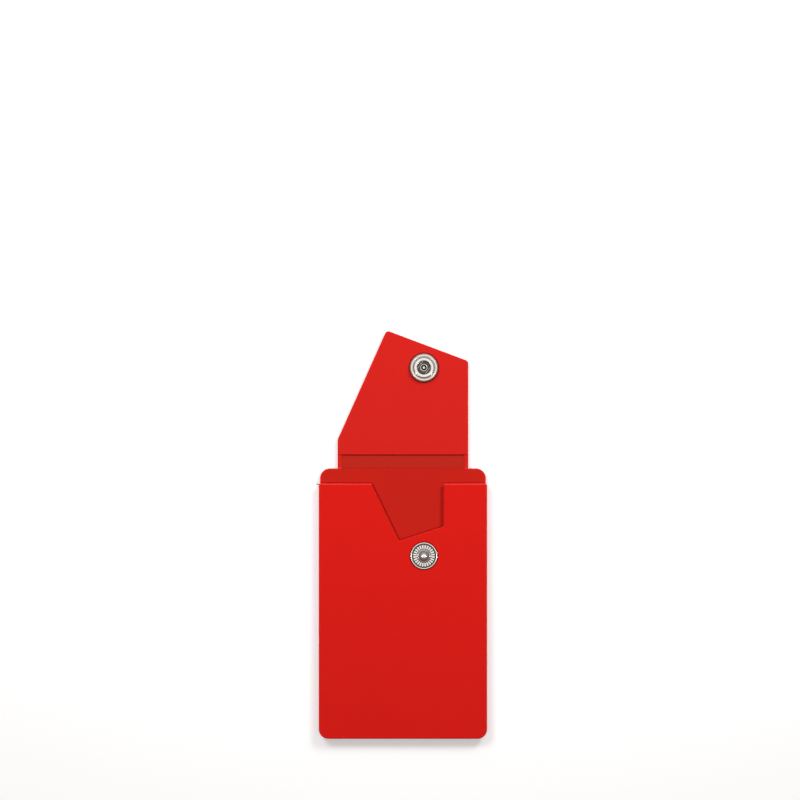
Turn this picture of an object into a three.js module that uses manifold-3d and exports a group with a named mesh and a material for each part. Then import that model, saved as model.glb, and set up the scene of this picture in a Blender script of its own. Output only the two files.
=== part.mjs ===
// A stick-on card holder for the back of a phone. A moulded silicone sleeve takes the cards, its flap turns
// over on a thinned fold strip, and a metal press snap holds the flap shut. It lies on its adhesive pad with
// the flap open flat. Millimetres: +X to the right, +Y towards the flap's tip, +Z out of the front. The
// origin is the centre of the pad's sticky face.
import * as THREE from "three";
import { mergeVertices } from "three/addons/utils/BufferGeometryUtils.js";
import Module from "manifold-3d";

const wasm = await Module();
wasm.setup();

// Silicone sleeve
const SLEEVE_WIDTH = 60.2;
const SLEEVE_HEIGHT = 96.6; // from the bottom edge to the lower fold line
const SHEET = 1.2; // thickness of the back wall and of the flap
const SLOT_DEPTH = 1.2; // empty card space between back and front wall
const FRONT_WALL = 1;
const SIDE_WALL = 2.3;
const BOTTOM_WALL = 2.4;
const TAB_HEIGHT = 5.35; // back wall that stands above the mouth
const TAB_INSET = 0.4; // the back wall is this much narrower than the pocket, on each side
const CORNER_RADIUS = 3.5;
const MOUTH_CORNER = 0.8;
const SLOT_CORNER = 2;
const POCKET_ROUNDING = 0.4; // rounded edge of the pocket's front
const SHEET_ROUNDING = 0.3; // rounded edge of the back wall and the flap

// Thumb notch in the front wall, from the mouth down
const NOTCH_LEFT = -11.3;
const NOTCH_RIGHT = 14.4;
const NOTCH_POINT_X = -1.35; // its lowest point
const NOTCH_DEPTH = 20.5;
const NOTCH_RIGHT_DEPTH = 15.4;
const NOTCH_CORNER = 0.8;

// Thin flash that the mould left at the left end of the mouth
const FLASH_LENGTH = 0.85;
const FLASH_WIDTH = 0.5;
const FLASH_THICKNESS = 0.3;
const FLASH_DROP = 0.2; // from the mouth line down to the flash

// Flap and its fold strip
const FLAP_WIDTH = 46.8;
const FLAP_SHOULDER = 5.3; // upright part of its left edge
const FLAP_TIP_X = -5.9;
const FLAP_TIP_HEIGHT = 44.5;
const FLAP_RIGHT_HEIGHT = 33.5;
const FLAP_CORNER = 1.3;
const FOLD_WEB = 0.6; // silicone left under the fold groove
const FOLD_RIM = 1.4; // thicker rim at each end of the groove
const RIM_DROP = 0.25; // from the sheet's face down to the rims

// Adhesive pad
const PAD_THICKNESS = 1;
const PAD_MARGIN = 2.4;
const PAD_CORNER = 2.5;

// Snap position: its distance from the fold line is the same on the flap and on the pocket
const SNAP_X = 7.5;
const SNAP_REACH = 31.1;
const SNAP_GAP = 0.1; // between stud and socket when the flap is shut
const HOLE_CLEARANCE = 0.15; // round a post where it goes through silicone
const SEAT_CLEARANCE = 0.05; // round a flange that the press has sunk into the silicone

// Stud, on the pocket
const STUD_RADIUS = 4.75;
const STUD_FLANGE = 0.8; // height of its rolled rim
const STUD_SEAT = 0.2; // how deep it is pressed into the front wall
const STUD_HEIGHT = 2.6;
const STUD_FLOOR = 0.5; // level of the metal between the ribs
const BALL_RADIUS = 1.8;
const BALL_HALF_HEIGHT = 0.6;
const NECK_RADIUS = 1.4;
const METAL = 0.25; // sheet metal thickness
const RIB_COUNT = 24;
const RIB_INNER = 2.4;
const RIB_INNER_RADIUS = 0.14;
const RIB_OUTER_RADIUS = 0.28;

// Post that holds the stud, with its flange inside the pocket
const POST_RADIUS = 1;
const POST_BORE = 0.72;
const POST_FLANGE_RADIUS = 4.3;
const POST_FLANGE = 0.35;
const POST_SEAT = 0.2;
const POST_CURL = 0.28; // how far its curled end stands out
const POST_CURL_DROP = 0.6 * POST_CURL; // from the middle of the stud's ball down to the middle of the curl

// Socket, on the flap
const SOCKET_RADIUS = 5.1;
const SOCKET_HEIGHT = 2.5;
const SOCKET_SEAT = 0.4;
const SOCKET_HOLE = 2.35;
const SOCKET_BASE = 0.3;
const SOCKET_RIM_HEIGHT = 2;
const SOCKET_COLLAR = 3.65; // radius of the raised centre that houses the spring
const TOOTH_COUNT = 40;
const TOOTH_DEPTH = 0.16;
const TOOTH_HEIGHT = 0.75;

// Spring in the socket
const WIRE_RADIUS = 0.22;
const WIRE_OFFSET = 1.7; // from the snap's axis to each leg
const WIRE_PLAY = 0.05;
const SPRING_REACH = 3.35; // radius of the groove that it lies in
const SPRING_TURN = 53; // degrees from +X to the legs

// Cap, on the flap's outer side, with the post that holds the socket
const CAP_RADIUS = 5.3;
const CAP_HEIGHT = 0.95;
const CAP_SEAT = 0.1;
const CAP_POST_RADIUS = 1.2;
const CAP_POST_BORE = 0.85;
const CAP_CURL = 0.5;
const CAP_CURL_HEIGHT = 0.35;

const ROUND_STEPS = 36; // facets round the snap's discs
const POST_STEPS = 20;
const CORNER_TURN = 18; // degrees that an outline turns by at most between two points of a corner
const OVERSHOOT = 2; // how far a cutting tool runs past the piece

// Levels and lines that the pieces share
const backFace = PAD_THICKNESS;
const sheetTop = backFace + SHEET;
const slotTop = sheetTop + SLOT_DEPTH;
const frontFace = slotTop + FRONT_WALL;
const studBase = frontFace - STUD_SEAT;
const socketBase = sheetTop - SOCKET_SEAT;
const bottomEdge = -SLEEVE_HEIGHT / 2;
const foldLow = SLEEVE_HEIGHT / 2;
const standOff = STUD_FLANGE - STUD_SEAT + SNAP_GAP + SOCKET_HEIGHT - SOCKET_SEAT;
const foldHeight = SLOT_DEPTH + FRONT_WALL + standOff; // so that the shut flap lies level over the snap
const foldHigh = foldLow + foldHeight;
const mouth = foldLow - TAB_HEIGHT;
const studY = foldLow - SNAP_REACH;
const socketY = foldHigh + SNAP_REACH;

const silicone = new THREE.MeshStandardMaterial({ color: 0xdd2218, roughness: 0.5, metalness: 0 });
const foam = new THREE.MeshStandardMaterial({ color: 0xe9e7e1, roughness: 0.35, metalness: 0 });
const nickel = new THREE.MeshStandardMaterial({ color: 0xd6d2ca, roughness: 0.22, metalness: 1 });
const springSteel = new THREE.MeshStandardMaterial({ color: 0xb8b4ab, roughness: 0.3, metalness: 1 });

// A closed geometry as a solid that can be cut and joined
function solidOf(geometry) {
  const bare = geometry.index ? geometry.toNonIndexed() : geometry.clone();
  bare.deleteAttribute("normal");
  bare.deleteAttribute("uv");
  const merged = mergeVertices(bare, 1e-4);
  return new wasm.Manifold(
    new wasm.Mesh({
      numProp: 3,
      vertProperties: merged.getAttribute("position").array,
      triVerts: new Uint32Array(merged.index.array),
    }),
  );
}

// A solid back as a geometry that a mesh can show
function geometryOf(solid) {
  const mesh = solid.getMesh();
  const geometry = new THREE.BufferGeometry();
  geometry.setAttribute("position", new THREE.BufferAttribute(new Float32Array(mesh.vertProperties), 3));
  geometry.setIndex(new THREE.BufferAttribute(new Uint32Array(mesh.triVerts), 1));
  const flat = geometry.toNonIndexed();
  flat.computeVertexNormals();
  return flat;
}

// A closed outline through the given corners, each [x, y, radius], with those radii rounded
function roundedOutline(corners) {
  const spots = corners.map(([x, y]) => new THREE.Vector2(x, y));
  const points = corners.flatMap(([, , radius], i) => {
    const before = spots[(i + spots.length - 1) % spots.length];
    const after = spots[(i + 1) % spots.length];
    return radius > 0 ? roundedCorner(before, spots[i], after, radius) : [spots[i]];
  });
  return new THREE.Shape(points);
}

// The points on the arc that rounds one corner between two straight sides
function roundedCorner(before, corner, after, radius) {
  const back = before.clone().sub(corner).normalize();
  const ahead = after.clone().sub(corner).normalize();
  const half = Math.acos(back.dot(ahead)) / 2;
  const middle = back.clone().add(ahead).normalize();
  const centre = corner.clone().addScaledVector(middle, radius / Math.sin(half));
  const start = corner.clone().addScaledVector(back, radius / Math.tan(half));
  const turn = Math.sign(ahead.cross(back)) * (Math.PI - 2 * half);
  const steps = Math.ceil(Math.abs(turn) / THREE.MathUtils.degToRad(CORNER_TURN));
  return Array.from({ length: steps + 1 }, (_, i) => start.clone().rotateAround(centre, (turn * i) / steps));
}

// A plate of the outline between two levels, with its edges rounded by the given radius
function plate(outline, bottom, top, rounding = 0) {
  const geometry = new THREE.ExtrudeGeometry(outline, {
    depth: top - bottom - 2 * rounding,
    bevelEnabled: rounding > 0,
    bevelThickness: rounding,
    bevelSize: rounding,
    bevelOffset: -rounding,
    bevelSegments: 2,
  });
  geometry.translate(0, 0, bottom + rounding);
  return solidOf(geometry);
}

// A solid turned round the Z axis from a profile of [radius, height] pairs, run anticlockwise
function turned(profile, steps) {
  const points = profile.map(([radius, height]) => new THREE.Vector2(radius, height));
  return solidOf(new THREE.LatheGeometry(points, steps).rotateX(Math.PI / 2));
}

// Points [radius, height] on an arc in a profile; angles in degrees
function arc(radius, height, size, from, to, steps) {
  return Array.from({ length: steps + 1 }, (_, i) => {
    const angle = THREE.MathUtils.degToRad(from + ((to - from) * i) / steps);
    return [radius + size * Math.cos(angle), height + size * Math.sin(angle)];
  });
}

// A round cutter at a snap's place, between two levels
function drill(x, y, radius, bottom, top) {
  const geometry = new THREE.CylinderGeometry(radius, radius, top - bottom, ROUND_STEPS);
  geometry.rotateX(Math.PI / 2).translate(x, y, (bottom + top) / 2);
  return solidOf(geometry);
}

// A block between two lines across the holder, which keeps one stretch of the moulded sheet
function stretch(from, to) {
  const length = to - from;
  const geometry = new THREE.BoxGeometry(2 * SLEEVE_WIDTH, length, 2 * frontFace);
  geometry.translate(0, from + length / 2, 0);
  return solidOf(geometry);
}

// The sheet that rises from the mouth: fold strip and flap in one
function upperSheet() {
  const half = FLAP_WIDTH / 2;
  return plate(
    roundedOutline([
      [-half, mouth - OVERSHOOT, 0],
      [half, mouth - OVERSHOOT, 0],
      [half, foldHigh + FLAP_RIGHT_HEIGHT, FLAP_CORNER],
      [FLAP_TIP_X, foldHigh + FLAP_TIP_HEIGHT, FLAP_CORNER],
      [-half, foldHigh + FLAP_SHOULDER, FLAP_CORNER],
    ]),
    backFace,
    sheetTop,
    SHEET_ROUNDING,
  );
}

// The back wall's tab above the mouth, with the sheet that runs through it
function backTab(sheet) {
  const half = SLEEVE_WIDTH / 2 - TAB_INSET;
  const tab = plate(
    roundedOutline([
      [-half, mouth - OVERSHOOT, 0],
      [half, mouth - OVERSHOOT, 0],
      [half, foldLow, CORNER_RADIUS],
      [-half, foldLow, CORNER_RADIUS],
    ]),
    backFace,
    sheetTop,
    SHEET_ROUNDING,
  );
  return tab.add(sheet.intersect(stretch(foldLow - TAB_HEIGHT / 2, foldLow)));
}

// The pocket: a block, hollowed for the cards and notched for the thumb
function pocket() {
  const half = SLEEVE_WIDTH / 2;
  const roundedBlock = plate(
    roundedOutline([
      [-half, bottomEdge, CORNER_RADIUS],
      [half, bottomEdge, CORNER_RADIUS],
      [half, mouth, MOUTH_CORNER],
      [-half, mouth, MOUTH_CORNER],
    ]),
    backFace - OVERSHOOT,
    frontFace,
    POCKET_ROUNDING,
  );
  const block = roundedBlock.trimByPlane([0, 0, 1], backFace);
  const inner = half - SIDE_WALL;
  const cardSpace = plate(
    roundedOutline([
      [-inner, bottomEdge + BOTTOM_WALL, SLOT_CORNER],
      [inner, bottomEdge + BOTTOM_WALL, SLOT_CORNER],
      [inner, mouth + OVERSHOOT, 0],
      [-inner, mouth + OVERSHOOT, 0],
    ]),
    sheetTop,
    slotTop,
  );
  const slope = (NOTCH_POINT_X - NOTCH_LEFT) / NOTCH_DEPTH;
  const notch = plate(
    roundedOutline([
      [NOTCH_LEFT - slope * OVERSHOOT, mouth + OVERSHOOT, 0],
      [NOTCH_POINT_X, mouth - NOTCH_DEPTH, NOTCH_CORNER],
      [NOTCH_RIGHT, mouth - NOTCH_RIGHT_DEPTH, NOTCH_CORNER],
      [NOTCH_RIGHT, mouth + OVERSHOOT, 0],
    ]),
    sheetTop,
    frontFace + OVERSHOOT,
  );
  return block.add(mouthFlash()).subtract(cardSpace).subtract(notch);
}

// The sliver of flash that stands out of the pocket's left side and tapers to its tip
function mouthFlash() {
  const side = -SLEEVE_WIDTH / 2;
  const root = side + SIDE_WALL / 2;
  const upper = mouth - FLASH_DROP;
  const top = frontFace - POCKET_ROUNDING - FLASH_THICKNESS / 2;
  const outline = roundedOutline([
    [root, upper, 0],
    [side - FLASH_LENGTH, upper, 0],
    [side - FLASH_LENGTH, upper - FLASH_WIDTH / 2, 0],
    [root, upper - FLASH_WIDTH - SIDE_WALL / 2, 0],
  ]);
  return plate(outline, top - FLASH_THICKNESS, top);
}

function pocketSleeve(sheet) {
  const slotMiddle = sheetTop + SLOT_DEPTH / 2;
  const above = frontFace + OVERSHOOT;
  const postHole = drill(SNAP_X, studY, POST_RADIUS + HOLE_CLEARANCE, slotMiddle, above);
  const studSeat = drill(SNAP_X, studY, STUD_RADIUS + SEAT_CLEARANCE, studBase, above);
  const flangeSeat = POST_FLANGE_RADIUS + SEAT_CLEARANCE;
  const postSeat = drill(SNAP_X, studY, flangeSeat, slotMiddle, slotTop + POST_SEAT);
  return pocket().add(backTab(sheet)).subtract(postHole).subtract(studSeat).subtract(postSeat);
}

function foldStrip(sheet) {
  const cutter = (half, floor) =>
    plate(
      roundedOutline([
        [-half, foldLow - OVERSHOOT, 0],
        [half, foldLow - OVERSHOOT, 0],
        [half, foldHigh + OVERSHOOT, 0],
        [-half, foldHigh + OVERSHOOT, 0],
      ]),
      floor,
      sheetTop + OVERSHOOT,
    );
  const groove = cutter(FLAP_WIDTH / 2 - FOLD_RIM, backFace + FOLD_WEB);
  const aboveRims = cutter(FLAP_WIDTH, sheetTop - RIM_DROP);
  return sheet.intersect(stretch(foldLow, foldHigh)).subtract(groove).subtract(aboveRims);
}

function closingFlap(sheet) {
  const below = backFace - OVERSHOOT;
  const above = sheetTop + OVERSHOOT;
  const postHole = drill(SNAP_X, socketY, CAP_POST_RADIUS + HOLE_CLEARANCE, below, above);
  const socketSeat = drill(SNAP_X, socketY, SOCKET_RADIUS + SEAT_CLEARANCE, socketBase, above);
  const capSeat = drill(SNAP_X, socketY, CAP_RADIUS + SEAT_CLEARANCE, below, backFace + CAP_SEAT);
  const flap = sheet.intersect(stretch(foldHigh, foldHigh + FLAP_TIP_HEIGHT + OVERSHOOT));
  return flap.subtract(postHole).subtract(socketSeat).subtract(capSeat);
}

function adhesivePad() {
  const halfWidth = SLEEVE_WIDTH / 2 - PAD_MARGIN;
  const halfHeight = SLEEVE_HEIGHT / 2 - PAD_MARGIN;
  return plate(
    roundedOutline([
      [-halfWidth, -halfHeight, PAD_CORNER],
      [halfWidth, -halfHeight, PAD_CORNER],
      [halfWidth, halfHeight, PAD_CORNER],
      [-halfWidth, halfHeight, PAD_CORNER],
    ]),
    0,
    PAD_THICKNESS,
  );
}

// The stud: a hollow ball on a neck, in a flange with radial ribs and a rolled rim
function snapStud() {
  const rim = STUD_FLANGE / 2;
  const rimCentre = STUD_RADIUS - rim;
  const ballLevel = STUD_HEIGHT - BALL_HALF_HEIGHT;
  const neckBore = POST_RADIUS + HOLE_CLEARANCE;
  const ball = (size, halfHeight, from, to, steps) =>
    arc(0, 0, 1, from, to, steps).map(([x, y]) => [x * size, ballLevel + y * halfHeight]);
  const neckAngle = -THREE.MathUtils.radToDeg(Math.acos(NECK_RADIUS / BALL_RADIUS));
  const shell = turned(
    [
      [0, STUD_HEIGHT - METAL],
      ...ball(BALL_RADIUS - METAL, BALL_HALF_HEIGHT - METAL, 70, -10, 3),
      [neckBore, ballLevel - BALL_HALF_HEIGHT],
      [neckBore, 0],
      ...arc(rimCentre, rim, rim, -90, 150, 5),
      [rimCentre - rim - METAL / 2, STUD_FLOOR],
      [RIB_INNER - METAL / 2, STUD_FLOOR],
      [(RIB_INNER + NECK_RADIUS) / 2, STUD_FLANGE - METAL / 2],
      [NECK_RADIUS, STUD_FLANGE + METAL],
      ...ball(BALL_RADIUS, BALL_HALF_HEIGHT, neckAngle, 72, 5),
      [0, STUD_HEIGHT],
    ],
    ROUND_STEPS,
  );
  const ribLength = rimCentre - rim - RIB_INNER;
  const rib = new THREE.CylinderGeometry(RIB_OUTER_RADIUS, RIB_INNER_RADIUS, ribLength, 6);
  rib.rotateZ(-Math.PI / 2).translate(RIB_INNER + ribLength / 2, 0, STUD_FLOOR);
  let stud = shell;
  for (let i = 0; i < RIB_COUNT; i++) {
    const turn = (2 * Math.PI * i) / RIB_COUNT;
    stud = stud.add(solidOf(rib.clone().rotateZ(turn)));
  }
  return stud;
}

// The post under the stud: a flat flange inside the pocket and a hollow shank with a curled end
function studPost() {
  const studAboveFlange = studBase - (slotTop + POST_SEAT - POST_FLANGE);
  const curlLevel = studAboveFlange + STUD_HEIGHT - BALL_HALF_HEIGHT - POST_CURL_DROP;
  const edge = POST_FLANGE / 2;
  return turned(
    [
      [POST_BORE, 0],
      ...arc(POST_FLANGE_RADIUS - edge, edge, edge, -90, 90, 3),
      [POST_RADIUS, POST_FLANGE],
      [POST_RADIUS, curlLevel - POST_CURL],
      ...arc(POST_RADIUS, curlLevel, POST_CURL, -50, 90, 3),
      [POST_BORE, curlLevel],
      [POST_BORE, 0],
    ],
    POST_STEPS,
  );
}

// The socket: a toothed base, a rolled rim and a raised collar with the groove for the spring
function snapSocket() {
  const rim = (SOCKET_RADIUS - SOCKET_COLLAR) / 4;
  const rimCentre = SOCKET_RADIUS - TOOTH_DEPTH - rim;
  const grooveTop = SOCKET_HEIGHT - METAL;
  const grooveFloor = grooveTop - 2 * (WIRE_RADIUS + WIRE_PLAY);
  const well = SOCKET_HOLE + METAL;
  const postHole = CAP_POST_RADIUS + HOLE_CLEARANCE;
  const profile = [
    [postHole, 0],
    [SOCKET_RADIUS - 2 * TOOTH_DEPTH, 0],
    [SOCKET_RADIUS - 2 * TOOTH_DEPTH, TOOTH_HEIGHT + TOOTH_DEPTH],
    ...arc(rimCentre, SOCKET_RIM_HEIGHT - rim, rim, -30, 150, 5),
    [SOCKET_COLLAR + METAL, SOCKET_RIM_HEIGHT - rim],
    [SOCKET_COLLAR, SOCKET_HEIGHT - METAL],
    [SOCKET_COLLAR - METAL, SOCKET_HEIGHT],
    [SOCKET_HOLE + METAL, SOCKET_HEIGHT],
    [SOCKET_HOLE, SOCKET_HEIGHT - METAL / 2],
    [SOCKET_HOLE, grooveTop],
    [SPRING_REACH, grooveTop],
    [SPRING_REACH, grooveFloor],
    [well, grooveFloor],
    [well, SOCKET_BASE],
    [postHole, SOCKET_BASE],
    [postHole, 0],
  ];
  return turned(profile, ROUND_STEPS).add(toothedBase(postHole));
}

// The ring of teeth that grips the silicone under the socket's rim
function toothedBase(hole) {
  const toothShape = [
    [0, SOCKET_RADIUS],
    [0.4, SOCKET_RADIUS],
    [0.7, SOCKET_RADIUS - TOOTH_DEPTH],
  ];
  const points = [];
  for (let i = 0; i < TOOTH_COUNT; i++) {
    for (const [share, radius] of toothShape) {
      const turn = (2 * Math.PI * (i + share)) / TOOTH_COUNT;
      points.push(new THREE.Vector2(radius * Math.cos(turn), radius * Math.sin(turn)));
    }
  }
  const outline = new THREE.Shape(points);
  const solidRing = plate(outline, 0, TOOTH_HEIGHT);
  const core = drill(0, 0, (hole + SOCKET_RADIUS) / 2, -OVERSHOOT, TOOTH_HEIGHT + OVERSHOOT);
  return solidRing.subtract(core);
}

// The spring: one wire bent to a hairpin, whose legs close behind the stud's ball
class HairpinWire extends THREE.Curve {
  getPoint(share, target = new THREE.Vector3()) {
    const bendX = SPRING_REACH - WIRE_RADIUS - 2 * WIRE_PLAY - WIRE_OFFSET;
    const endX = -Math.sqrt((SPRING_REACH - 2 * WIRE_RADIUS) ** 2 - WIRE_OFFSET ** 2);
    const leg = bendX - endX;
    const bend = Math.PI * WIRE_OFFSET;
    const along = share * (2 * leg + bend);
    if (along < leg) return target.set(endX + along, -WIRE_OFFSET, 0);
    if (along > leg + bend) return target.set(bendX - (along - leg - bend), WIRE_OFFSET, 0);
    const turn = (along - leg) / WIRE_OFFSET;
    return target.set(bendX + WIRE_OFFSET * Math.sin(turn), -WIRE_OFFSET * Math.cos(turn), 0);
  }
}

function socketSpring() {
  const round = arc(0, 0, WIRE_RADIUS, 0, 315, 7);
  const section = new THREE.Shape(round.map(([x, y]) => new THREE.Vector2(x, y)));
  const path = new HairpinWire();
  return solidOf(new THREE.ExtrudeGeometry(section, { steps: 24, extrudePath: path, bevelEnabled: false }));
}

// The cap: a low dome with a hollow post, whose end is curled over the socket's base
function snapCap() {
  const curlBase = SHEET - SOCKET_SEAT + SOCKET_BASE;
  const curl = CAP_CURL_HEIGHT / 2;
  const curlCentre = CAP_POST_RADIUS + CAP_CURL - curl;
  const dome = arc(0, 0, 1, -90, -8, 7).map(([x, y]) => [x * CAP_RADIUS, CAP_SEAT + y * CAP_HEIGHT]);
  return turned(
    [
      ...dome,
      [CAP_RADIUS - METAL / 2, CAP_SEAT],
      [CAP_POST_RADIUS, CAP_SEAT],
      [CAP_POST_RADIUS, curlBase],
      ...arc(curlCentre, curlBase + curl, curl, -90, 90, 4),
      [CAP_POST_BORE, curlBase + curl],
      [CAP_POST_BORE, CAP_SEAT + METAL],
      [0, CAP_SEAT + METAL],
    ],
    ROUND_STEPS,
  );
}

const holder = new THREE.Group();

function addPiece(name, solid, material, place = [0, 0, 0]) {
  const mesh = new THREE.Mesh(geometryOf(solid), material);
  mesh.name = name;
  mesh.position.set(...place);
  holder.add(mesh);
  return mesh;
}

const sheet = upperSheet();
addPiece("pocket_sleeve", pocketSleeve(sheet), silicone);
addPiece("fold_strip", foldStrip(sheet), silicone);
addPiece("closing_flap", closingFlap(sheet), silicone);
addPiece("adhesive_pad", adhesivePad(), foam);
addPiece("snap_stud", snapStud(), nickel, [SNAP_X, studY, studBase]);
addPiece("stud_post", studPost(), nickel, [SNAP_X, studY, slotTop + POST_SEAT - POST_FLANGE]);
addPiece("snap_socket", snapSocket(), nickel, [SNAP_X, socketY, socketBase]);
const wireLevel = socketBase + SOCKET_HEIGHT - METAL - WIRE_PLAY - WIRE_RADIUS;
const spring = addPiece("socket_spring", socketSpring(), springSteel, [SNAP_X, socketY, wireLevel]);
spring.rotation.z = THREE.MathUtils.degToRad(SPRING_TURN);
addPiece("snap_cap", snapCap(), nickel, [SNAP_X, socketY, backFace]);

export default holder;
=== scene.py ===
import math

import bmesh
import bpy
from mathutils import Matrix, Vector


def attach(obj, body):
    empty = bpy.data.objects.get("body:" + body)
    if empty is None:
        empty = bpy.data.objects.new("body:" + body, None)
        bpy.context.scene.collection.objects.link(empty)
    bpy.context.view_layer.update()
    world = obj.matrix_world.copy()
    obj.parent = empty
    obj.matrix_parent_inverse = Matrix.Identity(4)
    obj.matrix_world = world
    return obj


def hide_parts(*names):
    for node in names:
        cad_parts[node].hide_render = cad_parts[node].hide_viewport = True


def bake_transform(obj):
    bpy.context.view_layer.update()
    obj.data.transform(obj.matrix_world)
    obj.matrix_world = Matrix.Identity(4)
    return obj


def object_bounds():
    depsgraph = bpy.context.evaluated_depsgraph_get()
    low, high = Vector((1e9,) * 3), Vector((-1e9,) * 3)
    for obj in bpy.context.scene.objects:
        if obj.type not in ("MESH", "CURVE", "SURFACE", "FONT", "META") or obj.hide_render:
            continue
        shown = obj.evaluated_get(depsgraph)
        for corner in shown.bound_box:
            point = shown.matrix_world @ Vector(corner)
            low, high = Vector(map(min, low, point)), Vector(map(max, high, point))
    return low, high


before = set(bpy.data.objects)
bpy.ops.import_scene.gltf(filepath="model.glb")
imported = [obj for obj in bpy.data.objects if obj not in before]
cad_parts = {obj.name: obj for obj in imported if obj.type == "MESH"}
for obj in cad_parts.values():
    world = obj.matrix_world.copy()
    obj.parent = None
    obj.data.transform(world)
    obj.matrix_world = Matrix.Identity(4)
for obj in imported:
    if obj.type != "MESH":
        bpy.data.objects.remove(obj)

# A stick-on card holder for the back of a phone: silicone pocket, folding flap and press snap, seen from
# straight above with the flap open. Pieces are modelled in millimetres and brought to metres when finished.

cad_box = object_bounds()

# Levels, from the pad's sticky face up
SHEET = 1.2
SLOT_DEPTH = 1.2
FRONT_WALL = 1.0
BACK_FACE = 1.0
SHEET_TOP = BACK_FACE + SHEET
SLOT_TOP = SHEET_TOP + SLOT_DEPTH
FRONT_FACE = SLOT_TOP + FRONT_WALL

# Pocket
HALF_WIDTH = 30.1
FOLD_LOW = 48.3
BOTTOM_EDGE = -FOLD_LOW
MOUTH = FOLD_LOW - 5.35
SIDE_WALL = 2.3
BOTTOM_WALL = 2.4
SLOT_CORNER = 2
POCKET_ROUNDING = 0.55
BACK_ROUNDING = 0.2
CORNER_RADIUS = 3.5
MOUTH_CORNER = 0.8
TAB_INSET = 0.4
TAB_OVERLAP = 2  # how far the tab's plate runs into the pocket's back wall
MOUTH_SHADE = 0.4  # width of the painted shade line at the foot of the mouth's step
SHEET_ROUNDING = 0.3

# Thumb notch
NOTCH_LEFT = -11.3
NOTCH_RIGHT = 14.4
NOTCH_POINT_X = -1.35
NOTCH_POINT_Y = MOUTH - 20.5
NOTCH_RIGHT_Y = MOUTH - 15.4
NOTCH_LINES = (
    ((NOTCH_LEFT, MOUTH), (NOTCH_POINT_X, NOTCH_POINT_Y)),
    ((NOTCH_POINT_X, NOTCH_POINT_Y), (NOTCH_RIGHT, NOTCH_RIGHT_Y)),
    ((NOTCH_RIGHT, NOTCH_RIGHT_Y), (NOTCH_RIGHT, MOUTH)),
)
NOTCH_CORNER = 0.9
NOTCH_MOUTH_CORNER = 0.5
NOTCH_SHADE = 0.45  # width of the painted shade line along the notch's left and lower edge

# Sliver of flash at the mouth's left end
FLASH_LENGTH = 0.85
FLASH_WIDTH = 0.5
FLASH_THICKNESS = 0.3
FLASH_LEVEL = 3.7

# Flap and fold strip
FLAP_HALF = 23.4
FOLD_HIGH = FOLD_LOW + 5.0
SHOULDER_Y = FOLD_HIGH + 5.3
TIP_X = -5.9
TIP_Y = FOLD_HIGH + 44.5
RIGHT_Y = FOLD_HIGH + 33.5
FLAP_CORNER = 1.3
SHEET_OVERLAP = 2.5  # how far the strip's plate runs into the tab
GROOVE_HALF = 22.0
GROOVE_FLOOR = BACK_FACE + 0.6
RIM_TOP = SHEET_TOP - 0.25
GROOVE_FOOT = 0.3
RIM_FOOT = 0.2
STRIP_MIDDLE = (FOLD_LOW + FOLD_HIGH) / 2
BEND = 1.3  # how far a fold's bend reaches to each side of its line
BEND_LINES = 6  # to each side of the fold line

# Adhesive pad
PAD_MARGIN = 2.4
PAD_CORNER = 2.5
PAD_ROUNDING = 0.08

# Press snap
SNAP_X = 7.5
SNAP_REACH = 31.1  # from either fold line to the snap half on its side
STUD_Y = FOLD_LOW - SNAP_REACH
SOCKET_Y = FOLD_HIGH + SNAP_REACH
STUD_BASE = FRONT_FACE - 0.2
SOCKET_BASE = SHEET_TOP - 0.4
CAP_SEAT = BACK_FACE + 0.1
SEAT_REACH = 5.38  # from the snap's axis to the outer end of a seat's wall
ROUND_STEPS = 120
BALL_RADIUS = 1.8
BALL_LEVEL = STUD_BASE + 1.87
BALL_ABOVE = 0.73
BALL_BELOW = 0.3
RIB_COUNT = 24
RIB_STEPS = 6
RIB_FLOOR = STUD_BASE + 0.42
RIB_HEIGHT = 0.32
RIB_INNER = 2.45
RIB_OUTER = 3.88
TOOTH_STEPS = 3
TOOTH_ROOT = 4.82
TOOTH_GROWTH = 1.055
WIRE_RADIUS = 0.22
WIRE_OFFSET = 1.7  # from the snap's axis to each leg of the spring
WIRE_START = -2.35
WIRE_BEND = 1.3
WIRE_LEVEL = SOCKET_BASE + 1.98
SPRING_TURN = 53  # degrees from +X to the legs

# The photograph, and where its middle lies on the holder, in metres
PICTURE_WIDTH = 800
PIXELS_PER_MM = 2.8
PICTURE_MIDDLE = (-0.00105, 0.07281)

TOUCH = 0.01  # play in the tests of where a vertex or a face lies


# Editing in code

def pick(piece, kind, test):
    """Selects, in edit mode, the vertices, edges or faces that pass the test."""
    bpy.ops.mesh.select_mode(type=kind)
    bpy.ops.mesh.select_all(action="DESELECT")
    mesh = bmesh.from_edit_mesh(piece.data)
    items = {"VERT": mesh.verts, "EDGE": mesh.edges, "FACE": mesh.faces}[kind]
    for item in items:
        if test(item):
            item.select_set(True)
    bmesh.update_edit_mesh(piece.data)


def begin_edit(piece):
    bpy.ops.object.select_all(action="DESELECT")
    piece.select_set(True)
    bpy.context.view_layer.objects.active = piece
    bpy.ops.object.mode_set(mode="EDIT")
    bpy.ops.mesh.select_all(action="SELECT")


def end_edit():
    bpy.ops.mesh.select_all(action="SELECT")
    bpy.ops.mesh.remove_doubles(threshold=1e-4)
    bpy.ops.mesh.normals_make_consistent(inside=False)
    bpy.ops.object.mode_set(mode="OBJECT")


def blank(name, left, right, low, high, level):
    """A flat rectangle, the start of a plate."""
    bpy.ops.object.select_all(action="DESELECT")
    bpy.ops.mesh.primitive_plane_add(size=1, location=((left + right) / 2, (low + high) / 2, level))
    piece = bpy.context.object
    piece.name = name
    piece.scale = (right - left, high - low, 1)
    bpy.ops.object.transform_apply(location=True, rotation=True, scale=True)
    return piece


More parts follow.
